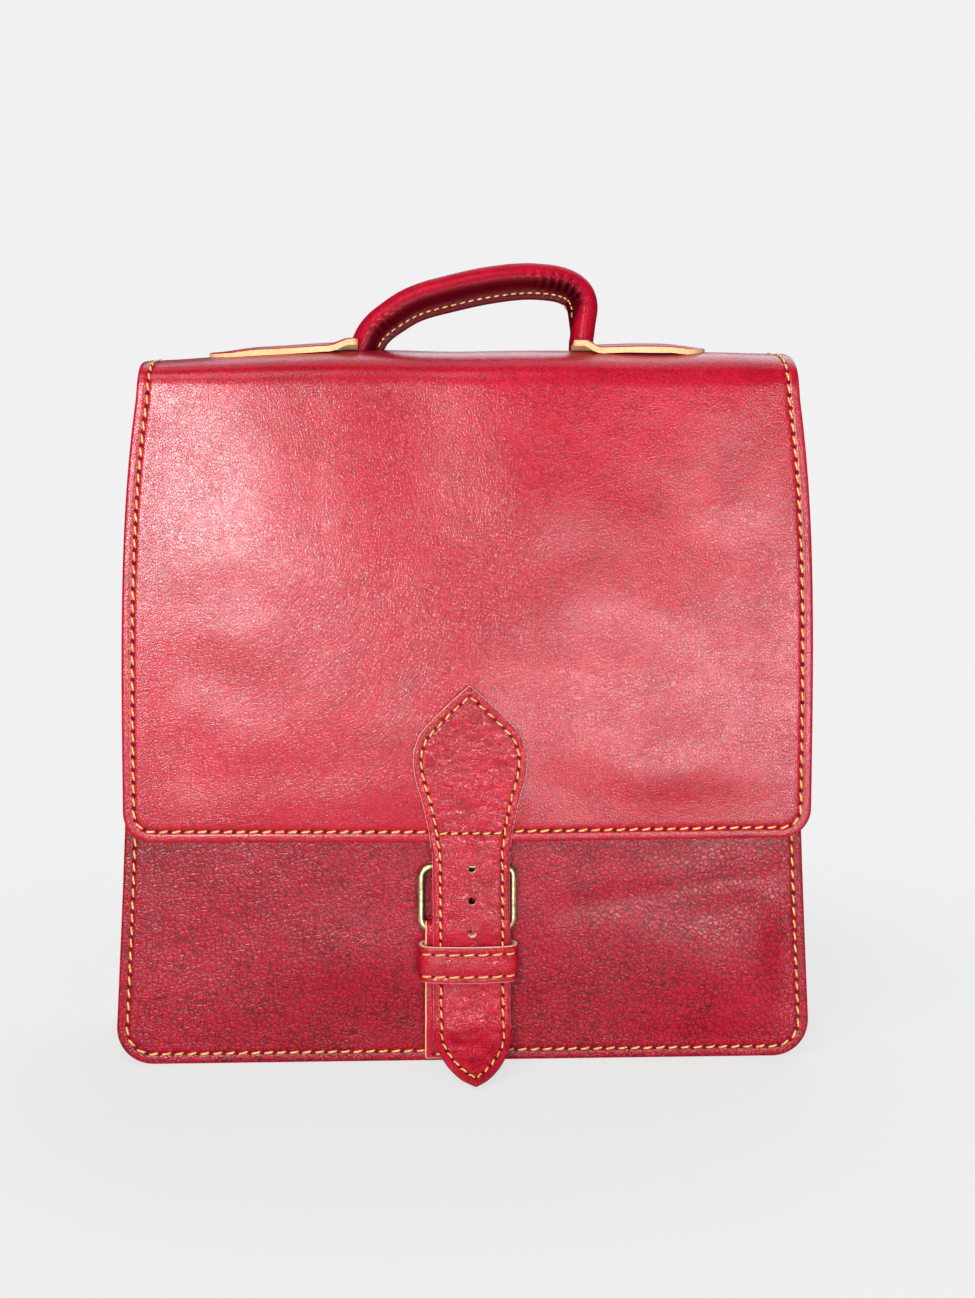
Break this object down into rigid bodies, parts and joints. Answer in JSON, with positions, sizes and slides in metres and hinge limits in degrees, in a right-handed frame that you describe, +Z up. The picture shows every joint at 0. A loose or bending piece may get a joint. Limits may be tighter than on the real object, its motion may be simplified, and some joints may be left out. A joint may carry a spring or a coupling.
{
  "type": "satchel bag",
  "caption": "Small stitched leather flap satchel with a gusseted body, rolled top handle, and a strap-and-buckle closure with a keeper loop.",
  "frame": {"origin": "middle of the flat base that the bag stands on", "axes": "+Z up, -Y towards the front of the bag, +X to the right of someone looking at its front"},
  "size_m": [0.2722, 0.1034, 0.3111],
  "materials": {
    "red_leather": "dyed vegetable-tanned goat leather, semi-gloss",
    "natural_leather": "undyed, matte flesh side",
    "thread": "waxed linen thread, pale gold",
    "antique_brass": "antique",
    "rope": "twisted cotton rope"
  },
  "bodies": {
    "bag": {"front_panel": "red_leather", "back_panel": "red_leather", "gusset": "red_leather", "front_seam_thread": "thread", "back_seam_thread": "thread", "inner_pocket": "natural_leather", "buckle_strap": "red_leather"},
    "flap_top": {"flap_bridge": "red_leather", "bridge_lining": "natural_leather", "handle_tab_left": "red_leather", "handle_tab_right": "red_leather"},
    "flap_front": {"flap_panel": "red_leather", "flap_lining": "natural_leather", "flap_thread_left": "thread", "flap_thread_right": "thread", "closing_strap": "red_leather", "closing_strap_backing": "natural_leather", "strap_thread": "thread"},
    "tail": {"strap_tail": "red_leather", "strap_tail_backing": "natural_leather"},
    "handle": {"handle_cover": "red_leather", "handle_core": "rope", "handle_thread": "thread"},
    "buckle": {"buckle_frame": "antique_brass"},
    "prong": {"buckle_prong": "antique_brass"},
    "keeper": {"keeper_loop": "red_leather"}
  },
  "joints": [
    {"name": "flap_back_fold", "type": "hinge", "parent": "bag", "child": "flap_top", "pos_m": [0, 0.0243, 0.2639], "axis": [-1, 0, 0], "range_deg": [0, 180]},
    {"name": "flap_front_fold", "type": "hinge", "parent": "flap_top", "child": "flap_front", "pos_m": [0, -0.0287, 0.2639], "axis": [-1, 0, 0], "range_deg": [0, 100]},
    {"name": "strap_bend", "type": "hinge", "parent": "flap_front", "child": "tail", "pos_m": [0, -0.0424, 0.0881], "axis": [-1, 0, 0], "range_deg": [0, 90], "deforming": ["strap_tail", "strap_tail_backing"]},
    {"name": "handle_swing", "type": "hinge", "parent": "flap_top", "child": "handle", "pos_m": [0, -0.00015, 0.2853], "axis": [1, 0, 0], "range_deg": [-75, 75]},
    {"name": "buckle_turn", "type": "hinge", "parent": "bag", "child": "buckle", "pos_m": [0.0002, -0.03855, 0.0548], "axis": [1, 0, 0], "range_deg": [0, 95]},
    {"name": "prong_turn", "type": "hinge", "parent": "bag", "child": "prong", "pos_m": [0.0002, -0.03855, 0.0548], "axis": [1, 0, 0], "range_deg": [0, 100]},
    {"name": "keeper_slide", "type": "slide", "parent": "bag", "child": "keeper", "axis": [0, 0, 1], "range_m": [-0.015, 0.0015]}
  ],
  "couplings": [
    {"joint": "prong_turn", "follows": "buckle_turn", "ratio": 1.05}
  ]
}
